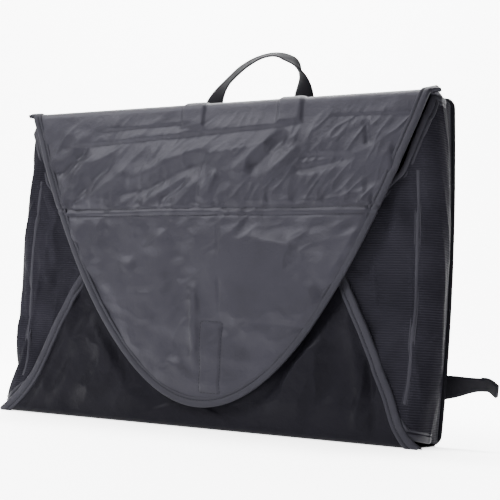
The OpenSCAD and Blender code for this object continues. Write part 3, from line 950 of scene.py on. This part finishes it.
def box_stitch(name, middle, normal, width, lift, inset=3.2 * MM):
    """A sewn box with a cross in it, on webbing whose middle line and normal are given."""
    tangent = unit(np.gradient(middle, axis=0))
    across = np.cross(tangent, normal)
    s = along_path(middle)
    low, high, half = inset, s[-1] - inset, width / 2 - inset
    at = lambda u, v: tuple(np.array([np.interp(v, s, middle[:, k]) for k in range(3)])
                            + u * across[len(s) // 2] + lift * normal[len(s) // 2])
    corners = [(-half, low), (half, low), (half, high), (-half, high)]
    lines = [(corners[i], corners[(i + 1) % 4]) for i in range(4)]
    lines += [(corners[0], corners[2]), (corners[1], corners[3])]
    rows = []
    for k, (a, b) in enumerate(lines):
        u = np.linspace(0, 1, 30)
        p = np.array([at(a[0] + (b[0] - a[0]) * w, a[1] + (b[1] - a[1]) * w) for w in u])
        n = np.repeat(normal[len(s) // 2][None], len(p), 0)
        t = unit(np.gradient(p, axis=0))
        rows.append(stitch_row(f"{name}_{k}", p, n, t, THREAD, pitch=3.0 * MM))
    return join(name, rows)


STRAP_Z, STRAP_W, STRAP_HINGE_X, STRAP_LEN = 52 * MM, 22 * MM, 213 * MM, 66 * MM


def build_strap(name, side, droop, tip_curl):
    """A rear strap: sewn to the back, out past the side, and a folded end that curls down."""
    anchor_low, anchor_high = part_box(("right" if side > 0 else "left") + "_strap_anchor")
    inner = min(abs(anchor_low.x), abs(anchor_high.x))
    tilt = math.asin((STRAP_Z - HEIGHT / 2) / BOW_R)
    normal = np.array([0.0, math.cos(tilt), math.sin(tilt)])
    up = np.array([0.0, -math.sin(tilt), math.cos(tilt)])
    centre = np.array([0.0, BOW_Y, HEIGHT / 2]) + normal * (BOW_R + 1.4 * MM)
    u = np.linspace(inner, STRAP_HINGE_X + STRAP_LEN, 120)
    past = np.clip(u - STRAP_HINGE_X, 0, None)
    lift = 1.3 * MM + 2.6 * MM * ramp(u, STRAP_HINGE_X - 9 * MM, STRAP_HINGE_X + 2 * MM)
    end = ramp(past, STRAP_LEN - 11 * MM, STRAP_LEN + 5 * MM)
    fall = math.sin(droop) * past + tip_curl * (1.5 * end - 1.1 * ramp(past, 0, STRAP_LEN - 14 * MM))
    line = (centre + np.outer(u - (1.05 - math.cos(droop)) * past, [1, 0, 0])
            + np.outer(lift - 3 * MM * end, normal) - np.outer(fall, up))
    twist = 0.85 * ramp(past, 4 * MM, STRAP_LEN - 18 * MM)
    face = normal * np.cos(twist)[:, None] + up * np.sin(twist)[:, None]
    widths = STRAP_W * (1 - 0.3 * ramp(past, 8 * MM, STRAP_LEN - 12 * MM))
    line[:, 0] *= side
    obj, _, face, across = ribbon(name, line, face, widths, 1.7 * MM, WEBBING)
    hem_at = past > STRAP_LEN - 15 * MM
    hem_line = line[hem_at] + face[hem_at] * 1.5 * MM
    hem, *_ = ribbon(name + "_hem", hem_line, face[hem_at], widths[hem_at] * 0.97, 1.6 * MM, WEBBING)
    pad = u < STRAP_HINGE_X - 2 * MM
    rows = [box_stitch(name + "_pad", line[pad], face[pad], STRAP_W, 0.95 * MM)]
    for k, at in enumerate((STRAP_LEN - 12.5 * MM, STRAP_LEN - 9.5 * MM)):
        i = int(np.argmin(np.abs(past - at)))
        w = np.linspace(-0.43, 0.43, 24)[:, None] * widths[i]
        p = line[i] + across[i] * w + face[i] * 2.35 * MM
        n = np.repeat(face[i][None], len(w), 0)
        rows.append(stitch_row(f"{name}_hem{k}", p, n, np.repeat(across[i][None], len(w), 0), THREAD,
                               pitch=2.8 * MM))
    return join(name, [obj, hem]), join(name + "_stitches", rows)


# ---------------------------------------------------------------- touch fastener

def build_patch(name, low, high, face_y, side, material, seed):
    """A sewn strip of touch fastener, with its bristly or fuzzy face modelled as relief."""
    rows, columns = 90, 34
    x = np.linspace(low.x, high.x, columns)[None, :]
    z = np.linspace(low.z, high.z, rows)[:, None]
    x, z = np.broadcast_arrays(x, z)
    edge = np.minimum(np.minimum(x - low.x, high.x - x), np.minimum(z - low.z, high.z - z))
    nap = 0.16 * MM * noise(x / MM, z / MM, seed)
    d = 0.55 * MM * ramp(edge, 0, 1.2 * MM) + nap * ramp(edge, MM, 3 * MM)
    d = d - 0.3 * MM * np.exp(-((edge - 2.2 * MM) / (0.4 * MM)) ** 2)
    across = x + LEAN + (5 * MM * ramp(z, HEIGHT, TIP_Z) if side > 0 else 0)
    points = np.stack([across, face_y + side * d, z], -1)
    obj = sheet_object(name, points, np.stack([x, z], -1), material, thickness=0.4 * MM, flip=side > 0)
    return obj


# ---------------------------------------------------------------- the bag

def dress(obj, replaced=(), body=None, bend=None):
    if bend:
        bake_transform(obj)
    else:
        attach(obj, body)
    if replaced:
        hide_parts(*replaced)


top_bend = ("shell", "top_flap", (0, FLAP_Y + 9 * MM, HEIGHT + 0.5 * MM), (0, FLAP_Y, HEIGHT - 10 * MM))
top_flap, top_area = build_top_flap()
dress(top_flap, ("top_gusset", "top_flap_upper", "top_flap_lower", "top_flap_seam"), bend=top_bend)
tape, row = build_flap_tape()
dress(tape, ("top_flap_binding",), bend=top_bend)
dress(row, bend=top_bend)

x_seam = np.linspace(-1, 1, 300) * (FLAP_HALF * math.sqrt((SEAM_Z - TIP_Z) / (HEIGHT - TIP_Z)) - TAPE_W)
seam_rows = []
for k, drop in enumerate((0.0, 6.5 * MM)):
    s_seam = np.full_like(x_seam, HEIGHT - RIM_R + FLAT + ARC - SEAM_Z + drop)
    points, normals = flap_surface(x_seam, s_seam)
    seam_rows.append(stitch_row(f"seam_row{k}", points + normals * 0.2 * MM, normals,
                                unit(np.gradient(points, axis=0)), THREAD))
patch_mid, patch_half = 0.5 * (PATCH_LOW + PATCH_HIGH), 0.5 * (PATCH_HIGH - PATCH_LOW)
for k, (sx, sz) in enumerate(((1, 0), (-1, 0), (0, 1), (0, -1))):
    w = np.linspace(-1, 1, 60)
    x = patch_mid.x + (sx * patch_half.x if sx else w * patch_half.x)
    z = patch_mid.z + (sz * patch_half.z if sz else w * patch_half.z)
    x, z = np.broadcast_arrays(x, z)
    points, normals = flap_surface(x, HEIGHT - RIM_R + FLAT + ARC - z)
    seam_rows.append(stitch_row(f"patch_row{k}", points + normals * 0.15 * MM, normals,
                                unit(np.gradient(points, axis=0)), THREAD))
dress(join("top_flap_seam_stitches", seam_rows), body="top_flap")

bottom_bend = ("shell", "bottom_flap", (0, BOTTOM_Y + 6 * MM, -0.5 * MM), (0, BOTTOM_Y - MM, 10 * MM))
bottom_flap, bottom_area = build_bottom_flap()
dress(bottom_flap, ("bottom_gusset", "bottom_flap_panel"), bend=bottom_bend)
tape, row = build_bottom_tape()
dress(tape, ("bottom_flap_binding",), bend=bottom_bend)
dress(row, bend=bottom_bend)

for name, side in (("right", 1), ("left", -1)):
    bend = ("shell", name + "_wing", (side * (FOLD_X + 12 * MM), WING_Y + 7 * MM, 0),
            (side * (FOLD_X - 6 * MM), WING_Y - MM, 0))
    cloth, area = build_side(name + "_side_cloth", side)
    dress(cloth, (name + "_gusset", name + "_wing_mesh"), bend=bend)
    tape, row = build_side_tape(name + "_side", side)
    dress(tape, (name + "_gusset_binding", name + "_wing_binding"), bend=bend)
    dress(row, bend=bend)
    tape, row = build_fold_seam(name, side)
    dress(tape, (name + "_gusset_seam",), bend=bend)
    dress(row, bend=bend)

back, back_area = back_layer("back_cloth", 2.5 * MM, 1.6 * MM, back_relief, NYLON, CLOTH_T, False)
dress(back, ("back_panel",), body="shell")
lining, lining_area = back_layer("lining_cloth", 3 * MM, -2.6 * MM, lining_relief, LINING, 0.9 * MM, True)
dress(lining, ("back_lining",), body="shell")
tape, row = build_back_tape()
dress(tape, ("back_binding",), body="shell")
dress(row, body="shell")
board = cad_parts["stiffener_board"]
board.data.materials.clear()
board.data.materials.append(board_material())

handle_bend = ("shell", "handle", (HANDLE_X, HANDLE_Y, HANDLE_BASE_Z - 6 * MM),
               (HANDLE_X, HANDLE_Y, HANDLE_BASE_Z + 6 * MM))
handle, rows = build_handle()
dress(handle, ("handle_webbing", "left_handle_anchor", "right_handle_anchor"), bend=handle_bend)
dress(rows, body="shell")

LEFT_DROOP = math.radians(40)
for name, side, droop, curl in (("right", 1, 0.0, 5 * MM), ("left", -1, LEFT_DROOP, 0.0)):
    strap, rows = build_strap(name + "_strap_webbing", side, droop, curl)
    hinge = Vector((side * STRAP_HINGE_X, 0.038, 0.051))
    way = Vector((side * math.cos(droop), 0, -math.sin(droop)))
    bend = ("shell", name + "_tether", hinge - way * 5 * MM, hinge + way * 5 * MM)
    dress(strap, (name + "_strap", name + "_strap_tip", name + "_strap_anchor"), bend=bend)
    dress(rows, bend=bend)

hook = build_patch("hook_strip", PATCH_LOW, PATCH_HIGH, PATCH_HIGH.y, 1, HOOKS, 401)
dress(hook, ("hook_patch",), body="top_flap")
loop = build_patch("loop_strip", LOOP_LOW, LOOP_HIGH, LOOP_LOW.y, -1, LOOPS, 403)
dress(loop, ("loop_patch",), body="bottom_flap")


# ---------------------------------------------------------------- studio

def plain(name, color, rough, glow):
    mat = bpy.data.materials.new(name)
    mat.use_nodes = True
    shader = mat.node_tree.nodes["Principled BSDF"]
    shader.inputs["Base Color"].default_value = (*color, 1.0)
    shader.inputs["Roughness"].default_value = rough
    shader.inputs["Emission Color"].default_value = (*color, 1.0)
    shader.inputs["Emission Strength"].default_value = glow
    return mat


def build_stage():
    """A pale floor that curves up into a backdrop, in one sweep round the view's axis."""
    far, radius, wide, tall = 2.2, 1.2, 7.0, 5.0
    profile = [(-1.3, 0.0)]
    for a in np.linspace(0, math.pi / 2, 24):
        profile.append((far + radius * math.sin(a), radius * (1 - math.cos(a))))
    profile.append((far + radius, tall))
    a = math.radians(VIEW_AZIMUTH)
    ahead, across = np.array([-math.sin(a), math.cos(a)]), np.array([math.cos(a), math.sin(a)])
    verts = []
    for d, z in profile:
        for w in (-wide, wide):
            x, y = ahead * d + across * w
            verts.append((x, y, z - 0.3 * MM))
    stage = make_object("studio_floor", verts, grid_faces(len(profile), 2))
    stage.data.materials.append(plain("pale_floor", (0.92, 0.92, 0.92), 0.7, glow=2.6))


def area_light(name, azimuth, elevation, distance, size, power, aim=(0, 0, 0.15), color=(1, 1, 1)):
    data = bpy.data.lights.new(name, "AREA")
    data.shape, data.size, data.size_y = "RECTANGLE", size[0], size[1]
    data.energy, data.color = power, color
    light = bpy.data.objects.new(name, data)
    bpy.context.scene.collection.objects.link(light)
    a, e = math.radians(azimuth), math.radians(elevation)
    back = Vector((math.sin(a) * math.cos(e), -math.cos(a) * math.cos(e), math.sin(e)))
    light.location = Vector(aim) + back * distance
    light.rotation_euler = back.to_track_quat("Z", "Y").to_euler()


def set_world(strength):
    world = bpy.data.worlds.new("studio")
    bpy.context.scene.world = world
    world.use_nodes = True
    world.node_tree.nodes["Background"].inputs["Color"].default_value = (1, 1, 1, 1)
    world.node_tree.nodes["Background"].inputs["Strength"].default_value = strength


VIEW_AZIMUTH, VIEW_ELEVATION, VIEW_ROLL = 28.54, -5.47, 3.34
VIEW_DISTANCE = 1.0786
VIEW_TARGET = Vector((26.7 * MM, BACK_PLANE, 174.7 * MM))
LENS_MM = 78.4


def build_camera():
    data = bpy.data.cameras.new("camera")
    data.lens, data.sensor_width = LENS_MM, 36.0
    data.clip_start, data.clip_end = 0.02, 50.0
    camera = bpy.data.objects.new("camera", data)
    bpy.context.scene.collection.objects.link(camera)
    a, e, r = (math.radians(v) for v in (VIEW_AZIMUTH, VIEW_ELEVATION, VIEW_ROLL))
    back = Vector((math.sin(a) * math.cos(e), -math.cos(a) * math.cos(e), math.sin(e)))
    right = Vector((0, 0, 1)).cross(back).normalized()
    up = back.cross(right)
    tilted_right = math.cos(r) * right + math.sin(r) * up
    tilted_up = -math.sin(r) * right + math.cos(r) * up
    turn = Matrix((tilted_right, tilted_up, back)).transposed().to_4x4()
    camera.matrix_world = Matrix.Translation(VIEW_TARGET + back * VIEW_DISTANCE) @ turn
    bpy.context.scene.camera = camera


build_camera()
build_stage()
set_world(0.3)
area_light("key", -40, 40, 2.2, (1.5, 1.1), 150)
area_light("front_fill", -4, 22, 2.4, (1.2, 0.8), 16)
area_light("top", 0, 82, 2.0, (2.0, 1.2), 50)
area_light("backdrop_glow", 28, 60, 3.2, (3.0, 1.0), 700, aim=(-1.3, 2.4, 0.6))
